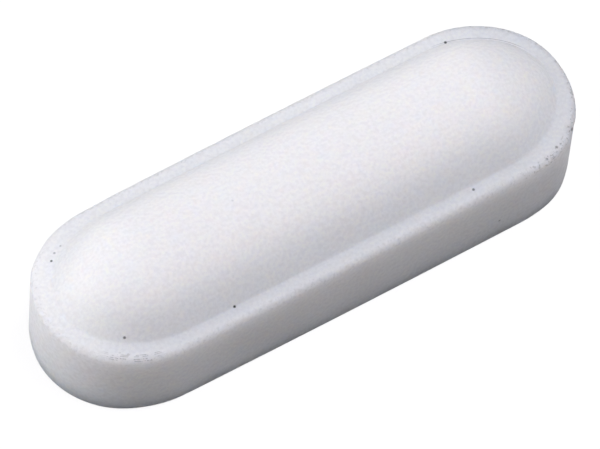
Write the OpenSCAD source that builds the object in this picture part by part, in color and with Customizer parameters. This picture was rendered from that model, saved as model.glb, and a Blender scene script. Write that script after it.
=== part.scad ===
// Magnetic stir bar: a rod magnet sealed inside one moulded PTFE jacket.
// The jacket is an obround block with an upright wall, a narrow rim and a low domed top.
// The origin is the centre of the flat underside, +X runs along the bar and +Z points up.
// All sizes are in millimetres.

/* [Body] */
// Overall length of the bar, from tip to tip
body_length = 50; // [36:0.5:90]
// Overall width of the bar, and so the diameter of its round ends
body_width = 15.9; // [13:0.1:22]
// Height of the rim above the flat underside
wall_height = 7.5; // [4.5:0.1:12]
// How far the wall leans in from the rim down to the underside, all round
wall_taper = 0.12; // [0:0.01:0.4]
// Radius of the soft edge between the wall and the rim
rim_edge_radius = 0.6; // [0.2:0.05:1]
// Radius of the small edge round the flat underside
base_edge_radius = 0.25; // [0.05:0.05:0.8]

/* [Dome] */
// Width of the rim, from the outside of the bar to the foot of the dome
rim_width = 1.35; // [1.2:0.05:3]
// Height of the dome's crown above the rim
dome_height = 4.2; // [2:0.1:5.2]
// Radius of the fillet where the dome rises out of the rim
dome_foot_radius = 0.2; // [0.1:0.05:0.6]

/* [Magnet] */
// Thickness of PTFE under the magnet
floor_thickness = 1.8; // [0.8:0.05:2.5]
// Thickness of PTFE over the magnet, at the dome's crown
crown_thickness = 1.8; // [0.8:0.05:2.5]
// How far the magnet runs past the centre of each round end
magnet_overhang = 2; // [0:0.25:3]
// Size of the bevel round the magnet's two end faces
magnet_bevel = 0.4; // [0.1:0.05:1]
// Gap between the magnet and the jacket, all round it
magnet_clearance = 0.05; // [0.02:0.01:0.2]

/* [Hidden] */
$fn = 96;

end_radius = body_width / 2;
straight_length = body_length - body_width;
total_height = wall_height + dome_height;

// The wall runs straight from the small edge at the underside to the soft edge at the rim
base_half_width = end_radius - wall_taper;
base_edge_centre = [base_half_width - base_edge_radius, base_edge_radius];
rim_edge_centre = [end_radius - rim_edge_radius, wall_height - rim_edge_radius];

// The dome is one arc, through its foot on each side and its crown
dome_half_width = end_radius - rim_width;
dome_radius = (pow(dome_half_width, 2) + pow(dome_height, 2)) / (2 * dome_height);
dome_centre = [0, total_height - dome_radius];

// The fillet's circle rests on the rim and touches the dome's arc from outside.
// It overlaps the arc by a hair, so that no rounding of the numbers can open a slit between them.
fillet_overlap = 0.00005;
fillet_height = wall_height + dome_foot_radius;
fillet_distance = dome_radius + dome_foot_radius - fillet_overlap;
fillet_reach = sqrt(pow(fillet_distance, 2) - pow(fillet_height - dome_centre[1], 2));
fillet_centre = [fillet_reach, fillet_height];
fillet_in_dome = dome_centre + (fillet_centre - dome_centre) * (dome_radius - dome_foot_radius) / fillet_distance;
fillet_in_wall = [fillet_reach, wall_height - dome_foot_radius];
fillet_root = [dome_half_width - dome_foot_radius, wall_height - dome_foot_radius];

// The magnet fills the height that the floor and the crown leave
magnet_diameter = total_height - floor_thickness - crown_thickness - 2 * magnet_clearance;
magnet_length = straight_length + 2 * magnet_overhang;
magnet_axis_height = floor_thickness + magnet_clearance + magnet_diameter / 2;

// Half of the bar's cross-section, from its middle outwards, with up along Y
module half_section() {
    wall_half_section();
    rim_edge_section();
    dome_half_section();
    dome_foot_section();
}

module wall_half_section() {
    polygon([
        [0, 0],
        [base_edge_centre[0], 0],
        [base_half_width, base_edge_radius],
        [end_radius, rim_edge_centre[1]],
        [rim_edge_centre[0], wall_height],
        [0, wall_height]
    ]);
    translate(base_edge_centre) circle(r = base_edge_radius);
}

module rim_edge_section() {
    intersection() {
        translate(rim_edge_centre) circle(r = rim_edge_radius);
        translate(rim_edge_centre) square(rim_edge_radius);
    }
}

// The top of the dome's circle, down to a little below the rim
module dome_half_section() {
    intersection() {
        translate(dome_centre) circle(r = dome_radius);
        translate([0, rim_edge_centre[1]]) square([end_radius, total_height]);
    }
}

// The wedge under the fillet reaches into the dome and the wall, so its corners lie inside them
module dome_foot_section() {
    difference() {
        polygon([fillet_centre, fillet_in_dome, fillet_root, fillet_in_wall]);
        translate(fillet_centre) circle(r = dome_foot_radius);
    }
}

// The straight middle of the bar: the whole cross-section, stood upright along X
module bar_middle() {
    translate([-straight_length / 2, 0, 0])
        rotate([90, 0, 90])
            linear_extrude(height = straight_length) {
                half_section();
                mirror([1, 0]) half_section();
            }
}

// The round end on the +X side: the half-section turned through half a circle
module bar_end() {
    translate([straight_length / 2, 0, 0])
        rotate([0, 0, -90])
            rotate_extrude(angle = 180)
                half_section();
}

// A round rod along X with bevelled ends, grown by a gap all round
module rod(gap) {
    rod_radius = magnet_diameter / 2 + gap;
    rod_end = magnet_length / 2 + gap;
    translate([0, 0, magnet_axis_height])
        rotate([0, 90, 0])
            rotate_extrude()
                polygon([
                    [0, -rod_end],
                    [rod_radius - magnet_bevel, -rod_end],
                    [rod_radius, magnet_bevel - rod_end],
                    [rod_radius, rod_end - magnet_bevel],
                    [rod_radius - magnet_bevel, rod_end],
                    [0, rod_end]
                ]);
}

// The white PTFE jacket: one moulded piece, closed all round the magnet
module jacket() {
    color([0.93, 0.93, 0.95])
        difference() {
            union() {
                bar_middle();
                bar_end();
                mirror([1, 0, 0]) bar_end();
            }
            rod(magnet_clearance);
        }
}

// The ground rod magnet that the jacket is moulded round
module magnet_rod() {
    color([0.36, 0.36, 0.38])
        rod(0);
}

jacket();
magnet_rod();
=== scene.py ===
"""A magnetic stir bar: a rod magnet sealed in one moulded PTFE jacket, lying on a pale floor."""

import math

import bpy
from mathutils import Matrix, Vector


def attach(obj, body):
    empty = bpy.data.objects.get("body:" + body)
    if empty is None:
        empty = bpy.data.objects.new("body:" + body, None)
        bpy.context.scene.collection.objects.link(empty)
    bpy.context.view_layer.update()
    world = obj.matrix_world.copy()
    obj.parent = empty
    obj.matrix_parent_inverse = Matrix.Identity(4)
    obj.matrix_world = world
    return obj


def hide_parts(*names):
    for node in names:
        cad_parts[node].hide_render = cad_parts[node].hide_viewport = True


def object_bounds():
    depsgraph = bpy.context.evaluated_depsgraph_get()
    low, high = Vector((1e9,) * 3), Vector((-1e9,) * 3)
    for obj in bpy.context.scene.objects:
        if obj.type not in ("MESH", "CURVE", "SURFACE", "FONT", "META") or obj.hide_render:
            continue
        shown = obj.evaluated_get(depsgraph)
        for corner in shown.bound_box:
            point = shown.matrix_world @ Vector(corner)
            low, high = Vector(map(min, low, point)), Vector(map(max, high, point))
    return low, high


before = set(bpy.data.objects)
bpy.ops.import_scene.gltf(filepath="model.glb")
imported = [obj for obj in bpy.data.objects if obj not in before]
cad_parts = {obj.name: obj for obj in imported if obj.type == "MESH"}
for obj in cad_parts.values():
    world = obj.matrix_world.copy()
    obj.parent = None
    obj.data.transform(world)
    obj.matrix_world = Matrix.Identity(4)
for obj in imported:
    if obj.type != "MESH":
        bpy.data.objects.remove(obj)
cad_low, cad_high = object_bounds()
mm = 0.001

# ------------------------------------------------------------------ magnet rod
# A cast rod magnet, ground to size, with a small bevel at each end.
# The jacket is moulded round it, so nothing of it shows.
rod_colour = (0.36, 0.36, 0.38, 1.0)
rod_tones = (0.9, 1.08)
rod_roughness = (0.36, 0.48)
grinding_line_width = 0.12 * mm
grinding_line_length = 1000 / 60 * mm
grinding_line_depth = 0.01 * mm
grinding_line_strength = 0.25
casting_cloud_size = 2.5 * mm
# A clouded noise runs from 0 to 1, but it seldom leaves this span.
cloud_span = (0.3, 0.7)

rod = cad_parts["magnet_rod"]


def new_material(name, colour):
    """A material with one Principled shader, and that shader."""
    material = bpy.data.materials.new(name)
    material.use_nodes = True
    shader = material.node_tree.nodes["Principled BSDF"]
    shader.inputs["Base Color"].default_value = colour
    return material, shader


def add_node(tree, kind, inputs=(), **settings):
    """A new node with its settings made, and its inputs filled with numbers or links."""
    node = tree.nodes.new(kind)
    for name, value in settings.items():
        setattr(node, name, value)
    for key, value in dict(inputs).items():
        if isinstance(value, bpy.types.NodeSocket):
            tree.links.new(value, node.inputs[key])
        else:
            node.inputs[key].default_value = value
    return node


def tree_of(*values):
    """The node tree that the first socket among some values belongs to."""
    return next(value.id_data for value in values if isinstance(value, bpy.types.NodeSocket))


def noise(place, size, detail=2.0):
    """A clouded noise whose lumps are about one size."""
    inputs = {"Vector": place, "Scale": 1 / size, "Detail": detail}
    return add_node(tree_of(place), "ShaderNodeTexNoise", inputs).outputs["Fac"]


def mapped(value, start, end, start_value, end_value, change="LINEAR"):
    """A value carried from one span of numbers to another, and held at the ends of it."""
    spans = {
        "Value": value,
        "From Min": start,
        "From Max": end,
        "To Min": start_value,
        "To Max": end_value,
    }
    node = add_node(tree_of(value), "ShaderNodeMapRange", spans, interpolation_type=change)
    return node.outputs["Result"]


def scaled(vector, scale):
    """A vector, or a colour, made longer or shorter."""
    inputs = {0: vector, "Scale": scale}
    node = add_node(tree_of(vector, scale), "ShaderNodeVectorMath", inputs, operation="SCALE")
    return node.outputs["Vector"]


ground_metal, metal_shader = new_material("ground_metal", rod_colour)
metal_shader.inputs["Metallic"].default_value = 1.0
metal_tree = ground_metal.node_tree
rod_place = add_node(metal_tree, "ShaderNodeTexCoord").outputs["Object"]
lines_place = add_node(
    metal_tree,
    "ShaderNodeMapping",
    {
        "Vector": rod_place,
        "Scale": (1 / grinding_line_width, 1 / grinding_line_length, 1 / grinding_line_length),
    },
).outputs["Vector"]
line_bump = add_node(
    metal_tree,
    "ShaderNodeBump",
    {
        "Height": noise(lines_place, 1.0, 3.0),
        "Strength": grinding_line_strength,
        "Distance": grinding_line_depth,
    },
).outputs["Normal"]
casting_cloud = noise(rod_place, casting_cloud_size, 3.0)
for socket_name, result in (
    ("Normal", line_bump),
    ("Base Color", scaled(rod_colour[:3], mapped(casting_cloud, *cloud_span, *rod_tones))),
    ("Roughness", mapped(casting_cloud, *cloud_span, *rod_roughness)),
):
    metal_tree.links.new(result, metal_shader.inputs[socket_name])
rod.data.materials.clear()
rod.data.materials.append(ground_metal)

# ---------------------------------------------------------------------- jacket
# White PTFE, pressed and sintered round the magnet as one piece and closed all round it.
# The section is an upright wall, a soft rim edge, a narrow rim and a low dome.
bar_length = cad_high.x - cad_low.x
bar_width = cad_high.y - cad_low.y
bar_height = cad_high.z - cad_low.z
wall_height = 7.5 * mm
wall_taper = 0.12 * mm
base_edge_radius = 0.25 * mm
rim_edge_radius = 0.6 * mm
rim_width = 1.35 * mm
dome_foot_radius = 0.2 * mm
dome_height = 4.2 * mm
magnet_clearance = 0.05 * mm

end_radius = bar_width / 2
half_straight = bar_length / 2 - end_radius
dome_half_width = end_radius - rim_width
# Seen from above, the moulded bar is a little fuller than its drawing: its sides bulge and its
# ends are long. So are the dome's.
plan_half_width = 7.91 * mm
plan_side_bulge = 0.074 * mm
plan_end_length = 8.34 * mm
foot_half_width = 6.48 * mm
foot_side_bulge = 0.04 * mm
foot_end_length = 7.95 * mm
foot_end_centre = 15.5 * mm

# The crease round the dome is filled at the -X end. Here and below, a name with limits in it gives
# where a change starts and where it ends.
crease_fill = 0.12 * mm
crease_fill_reach = 0.7 * mm
crease_fill_limits_x = (-20 * mm, -15 * mm)
# Where the rim's edge is worn, and how far the wear reaches, in mm
worn_places = (((20.5, -6.6, 7.4), 5.0), ((-24.7, 0.3, 7.2), 3.6))
worn_limits = (0.4, 1.0)
nick_depth = 0.16 * mm
nick_size = 0.4 * mm
nick_noise_limits = (0.5, 0.66)
least_nicked = 0.2
fuller_edge = 0.13 * mm
chip_place = (22.1 * mm, -5.9 * mm, 7.25 * mm)
chip_depth = 0.22 * mm
chip_limits = (0.16 * mm, 0.8 * mm)
# What counts as the top, and as the rim's edge by the way that it faces. The rim and the wall start
# this far out, with the dome's foot at 1.
top_limits = (wall_height - 0.9 * mm, wall_height - 0.5 * mm)
edge_lean = 0.6
edge_lean_limits = (0.2, 0.42)
rim_limits = (1.04, 1.1)
wall_limits = (1.1, 1.2)
# Flats and swellings of the ends: where, how far each reaches, and how far it stands out, in mm
uneven_places = (
    ((24.9, -0.9), 4.5, -0.14),
    ((20.4, -7.1), 3.0, 0.12),
    ((-17.5, 7.9), 4.0, -0.08),
    ((-23.4, 4.8), 2.8, 0.12),
    ((-19.5, -7.4), 4.0, -0.1),
)


def arc(centre, radius, first, last, steps):
    """Points of an arc, as (outwards, up) pairs; angles in degrees, 0 outwards and 90 up."""
    angles = [math.radians(first + (last - first) * k / steps) for k in range(steps + 1)]
    return [(centre[0] + radius * math.cos(a), centre[1] + radius * math.sin(a)) for a in angles]


def line(start, end, steps):
    """Points of a straight stretch, without its two ends."""
    return [
        tuple(s + (e - s) * k / steps for s, e in zip(start, end, strict=True))
        for k in range(1, steps)
    ]


dome_radius = (dome_half_width**2 + dome_height**2) / (2 * dome_height)
dome_centre = (0, bar_height - dome_radius)
foot_height = wall_height + dome_foot_radius
foot_reach = math.sqrt((dome_radius + dome_foot_radius) ** 2 - (foot_height - dome_centre[1]) ** 2)
foot_angle = math.degrees(math.atan2(foot_height - dome_centre[1], foot_reach))
foot_centre = (foot_reach, foot_height)
base_edge_centre = (end_radius - wall_taper - base_edge_radius, base_edge_radius)
rim_edge_centre = (end_radius - rim_edge_radius, wall_height - rim_edge_radius)

# The profile is half of the section's outline, from the middle of the underside round to the crown.
underside_steps = 10
base_edge_steps = 4
wall_steps = 24
rim_edge_steps = 12
rim_steps = 4
dome_foot_steps = 6
dome_steps = 40
base_edge = arc(base_edge_centre, base_edge_radius, -90, 0, base_edge_steps)
rim_edge = arc(rim_edge_centre, rim_edge_radius, 0, 90, rim_edge_steps)
dome_foot = arc(foot_centre, dome_foot_radius, 270, 180 + foot_angle, dome_foot_steps)
dome = arc(dome_centre, dome_radius, foot_angle, 90, dome_steps)
profile = (
    [(0.0, 0.0)]
    + line((0, 0), (base_edge_centre[0], 0), underside_steps)
    + base_edge
    + line(base_edge[-1], rim_edge[0], wall_steps)
    + rim_edge
    + line(rim_edge[-1], dome_foot[0], rim_steps)
    + dome_foot
    + dome[1:]
)

jacket_mesh = bpy.data.meshes.new("jacket_skin")
jacket_mesh.from_pydata([(out, 0, up) for out, up in profile], [], [])
jacket = bpy.data.objects.new("jacket_skin", jacket_mesh)
bpy.context.scene.collection.objects.link(jacket)

ptfe_colour = (0.953, 0.935, 0.98, 1.0)
ptfe_roughness = (0.44, 0.56)
ptfe_ior = 1.35
subsurface_radius = (1.0, 0.88, 0.76)
subsurface_scale = 6 * mm
subsurface_scale_over_magnet = 1.5 * mm
over_magnet_limits = (3.5 * mm, 6.4 * mm)
grain_size = 0.36 * mm
grain_depth = 0.02 * mm
grain_strength = 0.7
grain_span = (0.25, 0.75)
grain_tones = (0.93, 1.06)
pebble_size = 0.5 * mm
pebble_share = 0.6
mottle_size = 2.5 * mm
mottle_tones = (-0.008, 0.008)
# Dark specks, and the crack at the chip: place and radius in mm, and darkness. The same dark colour
# also paints the shade in the crease at the +X end.
dark_mark_and_shade_colour = (0.02, 0.02, 0.025, 1.0)
speck_limits = (0.7, 1.6)
specks = (
    ((-21.43, 4.8, 7.5), 0.1, 1.0),
    ((-20.81, 5.33, 7.5), 0.1, 0.5),
    ((-20.03, 5.65, 7.5), 0.1, 0.4),
    ((-11.03, -6.52, 7.53), 0.1, 1.0),
    ((17.81, 6.39, 7.5), 0.11, 0.95),
    ((11.89, -6.91, 7.5), 0.1, 0.8),
    ((-20.48, -4.72, 8.01), 0.11, 0.8),
    ((14.2, -7.86, 2.33), 0.1, 0.5),
    ((20.02, -6.88, 7.39), 0.12, 0.65),
    ((18.69, -7.42, 7.34), 0.13, 0.75),
    ((15.36, 0.08, 11.7), 0.1, 0.1),
    ((-7.27, 0.03, 11.7), 0.09, 0.2),
    ((-20.9, -6.0, 7.48), 0.1, 0.25),
    ((-21.41, -5.5, 7.49), 0.09, 0.15),
    ((22.35, -5.7, 6.75), 0.14, 0.8),
    ((22.15, -5.85, 7.0), 0.1, 0.6),
    ((21.9, -6.05, 7.2), 0.08, 0.5),
    ((21.6, -6.28, 7.35), 0.07, 0.4),
)
# Fine broken scratches along the rim's edge at the -X end: how far from the bar's axis, in mm
scratches = (7.2, 7.32, 7.5, 7.62)
scratch_limits = (0.015 * mm, 0.05 * mm)
scratch_piece_size = 0.55 * mm
scratch_noise_limits = (0.46, 0.54)
scratch_darkness = 0.42
scratched_place = (-20.6 * mm, -6.4 * mm, 7.45 * mm)
scratched_limits = (1.5 * mm, 3.0 * mm)
# Pits in the rim's edge, which starts this far from the axis and this high up
pitted_limits_out = (7.3 * mm, 7.55 * mm)
pitted_limits_up = (6.7 * mm, 6.95 * mm)
pit_size = 0.24 * mm
pit_noise_limits = (0.5, 0.68)
pit_darkness = 0.12
worn_pit_darkness = 0.4
worn_pit_limits = (0.5, 1.0)
end_pit_darkness = 0.28
end_pit_limits_x = (14 * mm, 20 * mm)
# Painted shade: fine dark lines in the crease on the +Y side of the +X end, where the crease lies
# in shade: how far from the dome's foot, in mm
crease_shade_lines = (0.03, 0.2)
crease_shade_line_limits = (0.015 * mm, 0.05 * mm)
crease_shade_darkness = 0.35
crease_shade_place = (20.3 * mm, 5.3 * mm, 7.5 * mm)
crease_shade_limits = (2.7 * mm, 4.5 * mm)
# Painted shade: the outside of both ends is a little darker in colour, the -X end less so and only
# above its foot.
painted_end_shade = 0.06
painted_shade_limits_out = (7.1 * mm, 7.7 * mm)
painted_shade_limits_x = (14 * mm, 21 * mm)
other_end_shade_share = 0.8
other_end_shade_limits_x = (-20.5 * mm, -24 * mm)
other_end_shade_limits_up = (0.5 * mm, 3.5 * mm)


def worked_out(operation, first, second=0.0):
    """The result of one sum, from numbers or sockets."""
    return add_node(
        tree_of(first, second), "ShaderNodeMath", {0: first, 1: second}, operation=operation
    ).outputs[0]


def sum_of(first, second):
    """Two numbers added."""
    return worked_out("ADD", first, second)


def product(first, second):
    """Two numbers multiplied."""
    return worked_out("MULTIPLY", first, second)


def larger(first, second):
    """The larger of two numbers."""
    return worked_out("MAXIMUM", first, second)


def apart(first, second):
    """How far apart two numbers are."""
    return worked_out("ABSOLUTE", worked_out("SUBTRACT", first, second))


def faded(value, start, end, start_value=1.0, end_value=0.0):
    """A value that goes smoothly from one number to another between two limits."""
    return mapped(value, start, end, start_value, end_value, "SMOOTHSTEP")


def vector_worked_out(operation, first, second=(0, 0, 0)):
    """The result of one sum of vectors: a number for a length or a distance."""
    inputs = {0: first, 1: second}
    node = add_node(tree_of(first, second), "ShaderNodeVectorMath", inputs, operation=operation)
    return node.outputs["Value" if operation in ("LENGTH", "DISTANCE") else "Vector"]


def distance(first, second):
    """How far apart two places are."""
    return vector_worked_out("DISTANCE", first, second)


def in_metres(place):
    """A place given in mm."""
    return tuple(along * mm for along in place)


def joined(tree, x=0.0, y=0.0, z=0.0):
    """A vector of three numbers."""
    return add_node(tree, "ShaderNodeCombineXYZ", {"X": x, "Y": y, "Z": z}).outputs[0]


def split(vector):
    """The three numbers of a vector, by the names of its axes."""
    return add_node(tree_of(vector), "ShaderNodeSeparateXYZ", {0: vector}).outputs


def how_far_out(axes, end_centre, end_length=1.0, half_width=1.0):
    """How far out a place is in an obround: 1 on its line, or the distance from its axis."""
    past_centre = worked_out("SUBTRACT", worked_out("ABSOLUTE", axes["X"]), end_centre)
    along = worked_out("DIVIDE", larger(past_centre, 0.0), end_length)
    across = worked_out("DIVIDE", axes["Y"], half_width)
    return vector_worked_out("LENGTH", joined(tree_of(along), along, across))


ptfe, ptfe_shader = new_material("ptfe", ptfe_colour)
ptfe_shader.inputs["IOR"].default_value = ptfe_ior
ptfe_shader.inputs["Subsurface Weight"].default_value = 1.0
ptfe_shader.inputs["Subsurface Radius"].default_value = subsurface_radius
ptfe_tree = ptfe.node_tree
ptfe_place = add_node(ptfe_tree, "ShaderNodeTexCoord").outputs["Object"]
ptfe_axes = split(ptfe_place)
from_axis = how_far_out(ptfe_axes, half_straight)

# Light runs deep in the rim and the walls. Over the magnet it runs less deep, because the magnet's
# pocket would swallow light that the real jacket sends back.
scatter = faded(from_axis, *over_magnet_limits, subsurface_scale_over_magnet, subsurface_scale)

# Pressed powder leaves a fine pebbled grain, a little uneven in tone and in gloss.
grain = noise(ptfe_place, grain_size)
pebbles = add_node(
    ptfe_tree,
    "ShaderNodeTexVoronoi",
    {"Vector": ptfe_place, "Scale": 1 / pebble_size},
    feature="SMOOTH_F1",
).outputs["Distance"]
mottle = noise(ptfe_place, mottle_size, 3.0)
grain_bump = add_node(
    ptfe_tree,
    "ShaderNodeBump",
    {
        "Height": sum_of(grain, product(pebbles, pebble_share)),
        "Strength": grain_strength,
        "Distance": grain_depth,
    },
).outputs["Normal"]
tone = sum_of(faded(grain, *grain_span, *grain_tones), faded(mottle, *cloud_span, *mottle_tones))

# Every mark, and the painted shade in the crease, is a darkness from 0 to 1, and the darkest one
# shows.
marks_and_shade = None
for place, radius, darkness in specks:
    start, end = (limit * radius * mm for limit in speck_limits)
    speck = faded(distance(ptfe_place, in_metres(place)), start, end, darkness, 0.0)
    marks_and_shade = speck if marks_and_shade is None else larger(marks_and_shade, speck)

scratched = product(
    faded(noise(ptfe_place, scratch_piece_size), *scratch_noise_limits, 0.0, scratch_darkness),
    faded(distance(ptfe_place, scratched_place), *scratched_limits),
)
for out in scratches:
    scratch = faded(apart(from_axis, out * mm), *scratch_limits)
    marks_and_shade = larger(marks_and_shade, product(scratch, scratched))

# The rim's edge is pitted all round, most at the +X end and where it is worn there.
pits = faded(noise(ptfe_place, pit_size), *pit_noise_limits, 0.0, 1.0)
pits = product(pits, faded(from_axis, *pitted_limits_out, 0.0, 1.0))
pits = product(pits, faded(ptfe_axes["Z"], *pitted_limits_up, 0.0, 1.0))
place, reach = worn_places[0]
start, end = (limit * reach * mm for limit in worn_pit_limits)
darkness = larger(
    faded(distance(ptfe_place, in_metres(place)), start, end, worn_pit_darkness, pit_darkness),
    faded(ptfe_axes["X"], *end_pit_limits_x, 0.0, end_pit_darkness),
)
marks_and_shade = larger(marks_and_shade, product(pits, darkness))

# Painted shade in the crease at the +X end: dark lines along the dome's foot, fading away from one
# place.
off_foot = how_far_out(ptfe_axes, foot_end_centre, foot_end_length, foot_half_width)
off_foot = product(worked_out("SUBTRACT", off_foot, 1.0), foot_half_width)
crease_shaded = faded(distance(ptfe_place, crease_shade_place), *crease_shade_limits, crease_shade_darkness, 0.0)
for out in crease_shade_lines:
    crease_shade_line = faded(apart(off_foot, out * mm), *crease_shade_line_limits)
    marks_and_shade = larger(marks_and_shade, product(crease_shade_line, crease_shaded))

# Painted shade on the outside of both ends: their colour is made darker there.
end_shade = product(
    faded(ptfe_axes["X"], *other_end_shade_limits_x, 0.0, painted_end_shade),
    faded(ptfe_axes["Z"], *other_end_shade_limits_up, 0.0, other_end_shade_share),
)
end_shade = sum_of(end_shade, faded(ptfe_axes["X"], *painted_shade_limits_x, 0.0, painted_end_shade))
end_shade = product(end_shade, faded(from_axis, *painted_shade_limits_out, 0.0, 1.0))
toned_and_shaded = scaled(ptfe_colour[:3], worked_out("SUBTRACT", tone, end_shade))

# The places of a Mix node's factor and of its three colours, two given and one made
mix_factor, mix_first, mix_second, mix_result = 0, 6, 7, 2
marked_and_shaded = add_node(
    ptfe_tree,
    "ShaderNodeMix",
    {mix_factor: marks_and_shade, mix_first: toned_and_shaded, mix_second: dark_mark_and_shade_colour},
    data_type="RGBA",
).outputs[mix_result]
for socket_name, result in (
    ("Base Color", marked_and_shaded),
    ("Roughness", faded(mottle, *cloud_span, *ptfe_roughness)),
    ("Normal", grain_bump),
    ("Subsurface Scale", scatter),
):
    ptfe_tree.links.new(result, ptfe_shader.inputs[socket_name])

# The skin's tree takes the profile, and besides it what is listed here.
side_steps = 200
end_steps = 210
skin_inputs = (
    ("Profile half width", "Float", end_radius),
    ("Profile foot", "Float", dome_half_width),
    ("Plan end centre", "Float", bar_length / 2 - plan_end_length),
    ("Plan end length", "Float", plan_end_length),
    ("Plan half width", "Float", plan_half_width),
    ("Plan side bulge", "Float", plan_side_bulge),
    ("Foot end centre", "Float", foot_end_centre),
    ("Foot end length", "Float", foot_end_length),
    ("Foot half width", "Float", foot_half_width),
    ("Foot side bulge", "Float", foot_side_bulge),
    ("Side steps", "Int", side_steps),
    ("End steps", "Int", end_steps),
    ("Crease fill", "Float", crease_fill),
    ("Nick depth", "Float", nick_depth),
    ("Fuller edge", "Float", fuller_edge),
    ("Chip depth", "Float", chip_depth),
    ("Moulded core", "Object", rod),
    ("Core gap", "Float", magnet_clearance),
    ("Material", "Material", ptfe),
)
skin = bpy.data.node_groups.new("moulded_skin", "GeometryNodeTree")
skin.interface.new_socket(name="Profile", in_out="INPUT", socket_type="NodeSocketGeometry")
skin.interface.new_socket(name="Skin", in_out="OUTPUT", socket_type="NodeSocketGeometry")
skin_settings = {}
for name, kind, value in skin_inputs:
    socket = skin.interface.new_socket(name=name, in_out="INPUT", socket_type="NodeSocket" + kind)
    skin_settings[socket.identifier] = value
given = skin.nodes.new("NodeGroupInput").outputs
plan_sizes = ("end centre", "end length", "half width", "side bulge")


def plan_point(end_centre, end_length, half_width, side_bulge):
    """A point of an obround seen from above: slightly bulging sides and elliptical ends."""
    bulge = product(side_bulge, sum_of(1, product(product(run, run), -1)))
    along = sum_of(product(run, end_centre), product(end_length, cosine))
    return joined(skin, along, product(sum_of(half_width, bulge), sine))


def moved_on(place, change, share):
    """A place moved on by a share of a change."""
    return vector_worked_out("ADD", place, scaled(change, share))


# A grid of half the bar: one way it runs along a side and round an end, the other way along the
# profile.
profile_size = add_node(
    skin, "GeometryNodeAttributeDomainSize", {"Geometry": given["Profile"]}, component="MESH"
).outputs["Point Count"]
all_steps = sum_of(given["Side steps"], given["End steps"])
grid = add_node(
    skin,
    "GeometryNodeMeshGrid",
    {
        "Size X": 1.0,
        "Size Y": 1.0,
        "Vertices X": sum_of(all_steps, 1),
        "Vertices Y": profile_size,
    },
)
grid_place = split(grid.outputs["UV Map"])
side_share = worked_out("DIVIDE", given["Side steps"], all_steps)
run = mapped(grid_place["X"], 0.0, side_share, -1.0, 1.0)
turn = mapped(grid_place["X"], side_share, 1.0, -math.pi / 2, math.pi / 2)
cosine = worked_out("COSINE", turn)
sine = worked_out("SINE", turn)
profile_place = add_node(
    skin,
    "GeometryNodeSampleIndex",
    {
        "Geometry": given["Profile"],
        "Value": add_node(skin, "GeometryNodeInputPosition").outputs[0],
        "Index": product(grid_place["Y"], sum_of(profile_size, -1)),
    },
    data_type="FLOAT_VECTOR",
).outputs["Value"]
outwards_and_up = split(profile_place)

# The profile's distance outwards is shared out between the crown's line, the dome's foot and the
# bar's edge.
crown_line = joined(skin, product(run, given["Foot end centre"]))
foot = plan_point(*(given["Foot " + name] for name in plan_sizes))
edge = plan_point(*(given["Plan " + name] for name in plan_sizes))
to_foot = mapped(outwards_and_up["X"], 0.0, given["Profile foot"], 0.0, 1.0)
to_edge = mapped(outwards_and_up["X"], given["Profile foot"], given["Profile half width"], 0.0, 1.0)
place = moved_on(crown_line, vector_worked_out("SUBTRACT", foot, crown_line), to_foot)
place = moved_on(place, vector_worked_out("SUBTRACT", edge, foot), to_edge)
place = vector_worked_out("ADD", place, joined(skin, z=outwards_and_up["Z"]))
half = add_node(
    skin, "GeometryNodeSetPosition", {"Geometry": grid.outputs["Mesh"], "Position": place}
).outputs[0]
other_half = add_node(
    skin, "GeometryNodeTransform", {"Geometry": half, "Rotation": (0, 0, math.pi)}
).outputs[0]


def put_together(*parts):
    """Some pieces of geometry as one."""
    together = skin.nodes.new("GeometryNodeJoinGeometry")
    for part in parts:
        skin.links.new(part, together.inputs[0])
    return together.outputs[0]


def seams_closed(geometry, seam_width):
    """The geometry with the points on both sides of its seams made one."""
    inputs = {"Geometry": geometry, "Distance": seam_width}
    return add_node(skin, "GeometryNodeMergeByDistance", inputs).outputs[0]


outside = seams_closed(put_together(half, other_half), 0.0001 * mm)

# Small moves of the skin. The crease round the dome is fuller at the -X end, so its foot is softer.
at = add_node(skin, "GeometryNodeInputPosition").outputs[0]
outward = add_node(skin, "GeometryNodeInputNormal").outputs[0]
at_axes = split(at)
foot_ring = how_far_out(
    at_axes, given["Foot end centre"], given["Foot end length"], given["Foot half width"]
)
off_foot = product(apart(foot_ring, 1), given["Foot half width"])
on_top = faded(at_axes["Z"], *top_limits, 0.0, 1.0)
fill = product(faded(off_foot, 0.0, crease_fill_reach), faded(at_axes["X"], *crease_fill_limits_x))
fill = product(product(fill, on_top), given["Crease fill"])

# The rim's edge is nicked all round. Where it is worn it is nicked most and is sharper, and the -Y
# corner of the +X end has one larger chip.
on_edge = product(faded(apart(split(outward)["Z"], edge_lean), *edge_lean_limits), on_top)
on_edge = product(on_edge, faded(foot_ring, *rim_limits, 0.0, 1.0))
worn = None
for place, reach in worn_places:
    near = faded(distance(at, in_metres(place)), *(limit * reach * mm for limit in worn_limits))
    worn = near if worn is None else larger(worn, near)
nicks = product(
    faded(noise(at, nick_size), *nick_noise_limits, 0.0, given["Nick depth"]),
    sum_of(product(worn, 1 - least_nicked), least_nicked),
)
chip = faded(distance(at, chip_place), *chip_limits, product(given["Chip depth"], -1), 0.0)
edge_move = sum_of(product(worn, given["Fuller edge"]), product(nicks, -1))
edge_move = sum_of(product(edge_move, on_edge), product(chip, on_top))

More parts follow.
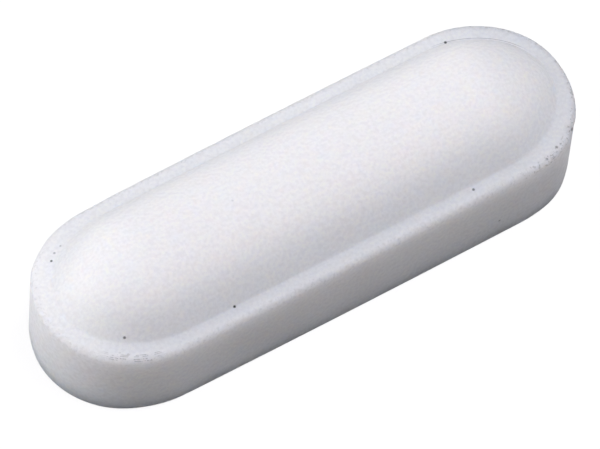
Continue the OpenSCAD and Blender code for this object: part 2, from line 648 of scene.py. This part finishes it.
# Seen from above, the ends are a little squarish: shallow flats and swellings in the outside.
level_out = vector_worked_out("NORMALIZE", vector_worked_out("MULTIPLY", outward, (1, 1, 0)))
uneven = None
for (x, y), reach, depth in uneven_places:
    column = joined(skin, x * mm, y * mm, at_axes["Z"])
    swell = faded(distance(at, column), 0.0, reach * mm, depth * mm, 0.0)
    uneven = swell if uneven is None else sum_of(uneven, swell)
uneven = product(uneven, faded(foot_ring, *wall_limits, 0.0, 1.0))
moved = vector_worked_out("ADD", scaled(outward, edge_move), joined(skin, z=fill))
moved = vector_worked_out("ADD", moved, scaled(level_out, uneven))
outside = add_node(
    skin, "GeometryNodeSetPosition", {"Geometry": outside, "Offset": moved}
).outputs[0]

# The cavity: the rod's own surface, stood off by the gap round it and turned to face the rod.
core = add_node(skin, "GeometryNodeObjectInfo", {"Object": given["Moulded core"]})
core = seams_closed(core.outputs["Geometry"], 0.001 * mm)
core_normal = add_node(skin, "GeometryNodeInputNormal").outputs[0]
core = add_node(
    skin,
    "GeometryNodeSetPosition",
    {"Geometry": core, "Offset": scaled(core_normal, given["Core gap"])},
).outputs[0]
cavity = add_node(skin, "GeometryNodeFlipFaces", {"Mesh": core}).outputs[0]

shell = put_together(outside, cavity)
shell = add_node(skin, "GeometryNodeRealizeInstances", {"Geometry": shell}).outputs[0]
shell = add_node(
    skin, "GeometryNodeSetMaterial", {"Geometry": shell, "Material": given["Material"]}
).outputs[0]
shell = add_node(skin, "GeometryNodeSetShadeSmooth", {0: shell}).outputs[0]
skin.links.new(shell, skin.nodes.new("NodeGroupOutput").inputs["Skin"])

sweep = jacket.modifiers.new("moulded_skin", "NODES")
sweep.node_group = skin
for identifier, value in skin_settings.items():
    sweep[identifier] = value


def as_plain_mesh(obj):
    """Turns an object's evaluated geometry into its own mesh and takes its modifiers off."""
    bpy.context.view_layer.update()
    made = bpy.data.meshes.new_from_object(obj.evaluated_get(bpy.context.evaluated_depsgraph_get()))
    obj.modifiers.clear()
    obj.data = made


as_plain_mesh(jacket)
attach(jacket, "root")
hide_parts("jacket")

# ----------------------------------------------------------------------- floor
# A wide pale table top that the bar lies on.
# The camera sees it white, with only a faint shadow under the bar, and sees through it from below.
floor_half_size = 3.0
floor_gap = 0.02 * mm
floor_colour = (0.2, 0.2, 0.2, 1.0)
floor_roughness = 0.9
floor_seen_colour = (0.2, 0.2, 0.205, 1.0)
floor_seen_glow = 0.87
white = (1, 1, 1, 1)

floor_mesh = bpy.data.meshes.new("floor")
floor_mesh.from_pydata(
    [
        (x * floor_half_size, y * floor_half_size, -floor_gap)
        for x, y in ((-1, -1), (1, -1), (1, 1), (-1, 1))
    ],
    [],
    [(0, 1, 2, 3)],
)
floor = bpy.data.objects.new("floor", floor_mesh)
bpy.context.scene.collection.objects.link(floor)
floor_material, floor_shader = new_material("floor", floor_colour)
floor_shader.inputs["Roughness"].default_value = floor_roughness
floor_tree = floor_material.node_tree


def seen_rays(tree):
    """1 for the rays that show a background: the camera's own, or by way of metal or glass."""
    path = add_node(tree, "ShaderNodeLightPath").outputs
    by_way_of = larger(path["Is Camera Ray"], path["Is Glossy Ray"])
    return larger(by_way_of, path["Is Transmission Ray"])


def shared_out(tree, share, first, second):
    """One shader where the share is 0, the other where it is 1."""
    return add_node(tree, "ShaderNodeMixShader", {0: share, 1: first, 2: second}).outputs[0]


glow_inputs = {"Color": white, "Strength": floor_seen_glow}
floor_glow = add_node(floor_tree, "ShaderNodeEmission", glow_inputs).outputs[0]
floor_shade = add_node(floor_tree, "ShaderNodeBsdfDiffuse", {"Color": floor_seen_colour}).outputs[0]
floor_seen = add_node(floor_tree, "ShaderNodeAddShader", {0: floor_glow, 1: floor_shade}).outputs[0]
floor_top = shared_out(floor_tree, seen_rays(floor_tree), floor_shader.outputs[0], floor_seen)
floor_sides = shared_out(
    floor_tree,
    add_node(floor_tree, "ShaderNodeNewGeometry").outputs["Backfacing"],
    floor_top,
    add_node(floor_tree, "ShaderNodeBsdfTransparent").outputs[0],
)
floor_tree.links.new(floor_sides, floor_tree.nodes["Material Output"].inputs["Surface"])
floor.data.materials.append(floor_material)

# -------------------------------------------------------------------- lighting
# Broad soft lamps: two bright ones, one of them high and one low, and weak ones that even out the
# ends and the walls. The world fills the shadows a little, and the camera sees it white.
lamp_distance = 0.6
lamp_size = 0.45
fill_strength = 0.06
fill_colour = (0.8, 0.87, 1.0, 1.0)
lamps = (
    # name, azimuth and elevation in degrees, strength, colour
    ("high_right", 324, 72, 0.485, (1.0, 0.95, 0.992)),
    ("right_end", 9, 55, 0.13, (0.862, 0.962, 1.0)),
    ("low_left", 144, 15, 0.482, (1.0, 0.992, 0.985)),
    ("left_end", 166, 35, 0.09, (0.844, 0.889, 1.0)),
    ("low_front", 234, 15, 0.1, (1.0, 0.93, 0.88)),
    ("low_back", 99, 15, 0.058, (1.0, 0.862, 0.862)),
)


def direction(azimuth, elevation):
    """The way to a place round the bar; angles in degrees, the azimuth from +X towards +Y."""
    around, up = math.radians(azimuth), math.radians(elevation)
    return Vector((math.cos(around) * math.cos(up), math.sin(around) * math.cos(up), math.sin(up)))


for lamp_name, azimuth, elevation, strength, lamp_colour in lamps:
    lamp_data = bpy.data.lights.new(lamp_name, "AREA")
    lamp_data.shape = "DISK"
    lamp_data.size = lamp_size
    lamp_data.energy = 4 * math.pi * lamp_distance**2 * strength
    lamp_data.color = lamp_colour
    lamp = bpy.data.objects.new(lamp_name, lamp_data)
    bpy.context.scene.collection.objects.link(lamp)
    towards = direction(azimuth, elevation)
    lamp.location = towards * lamp_distance
    lamp.rotation_mode = "QUATERNION"
    lamp.rotation_quaternion = towards.to_track_quat("Z", "Y")
    lamp.visible_camera = False

world = bpy.data.worlds.new("studio")
world.use_nodes = True
world_tree = world.node_tree
fill = world_tree.nodes["Background"]
fill.inputs["Color"].default_value = fill_colour
fill.inputs["Strength"].default_value = fill_strength
backdrop_inputs = {"Color": white, "Strength": 1.0}
backdrop = add_node(world_tree, "ShaderNodeBackground", backdrop_inputs).outputs[0]
world_seen = shared_out(world_tree, seen_rays(world_tree), fill.outputs[0], backdrop)
world_tree.links.new(world_seen, world_tree.nodes["World Output"].inputs["Surface"])
bpy.context.scene.world = world

# ---------------------------------------------------------------------- camera
# Looks down on the bar from its -Y side, a little from the -X end, and is rolled a little.
# The lens follows from how many pixels of a picture 600 wide a millimetre of the bar fills.
camera_azimuth = -127.3
camera_elevation = 56.45
camera_roll = 5.42
camera_distance = 1.36
sensor_width = 36
picture_width = 600
pixels_per_mm = 12.22
origin_offset = (0.0324 * mm, -1.404 * mm)

camera = bpy.data.objects.new("camera", bpy.data.cameras.new("camera"))
bpy.context.scene.collection.objects.link(camera)
camera.data.sensor_width = sensor_width
camera.data.lens = sensor_width * pixels_per_mm * camera_distance / mm / picture_width
camera.data.clip_start = 0.1
camera.data.clip_end = 10
back = direction(camera_azimuth, camera_elevation)
roll = Matrix.Rotation(math.radians(camera_roll), 3, "Z").to_quaternion()
camera.rotation_mode = "QUATERNION"
camera.rotation_quaternion = (-back).to_track_quat("-Z", "Y") @ roll
turned = camera.rotation_quaternion.to_matrix()
camera.location = (
    back * camera_distance - turned.col[0] * origin_offset[0] - turned.col[1] * origin_offset[1]
)
bpy.context.scene.camera = camera

bpy.context.scene.view_settings.view_transform = "Standard"
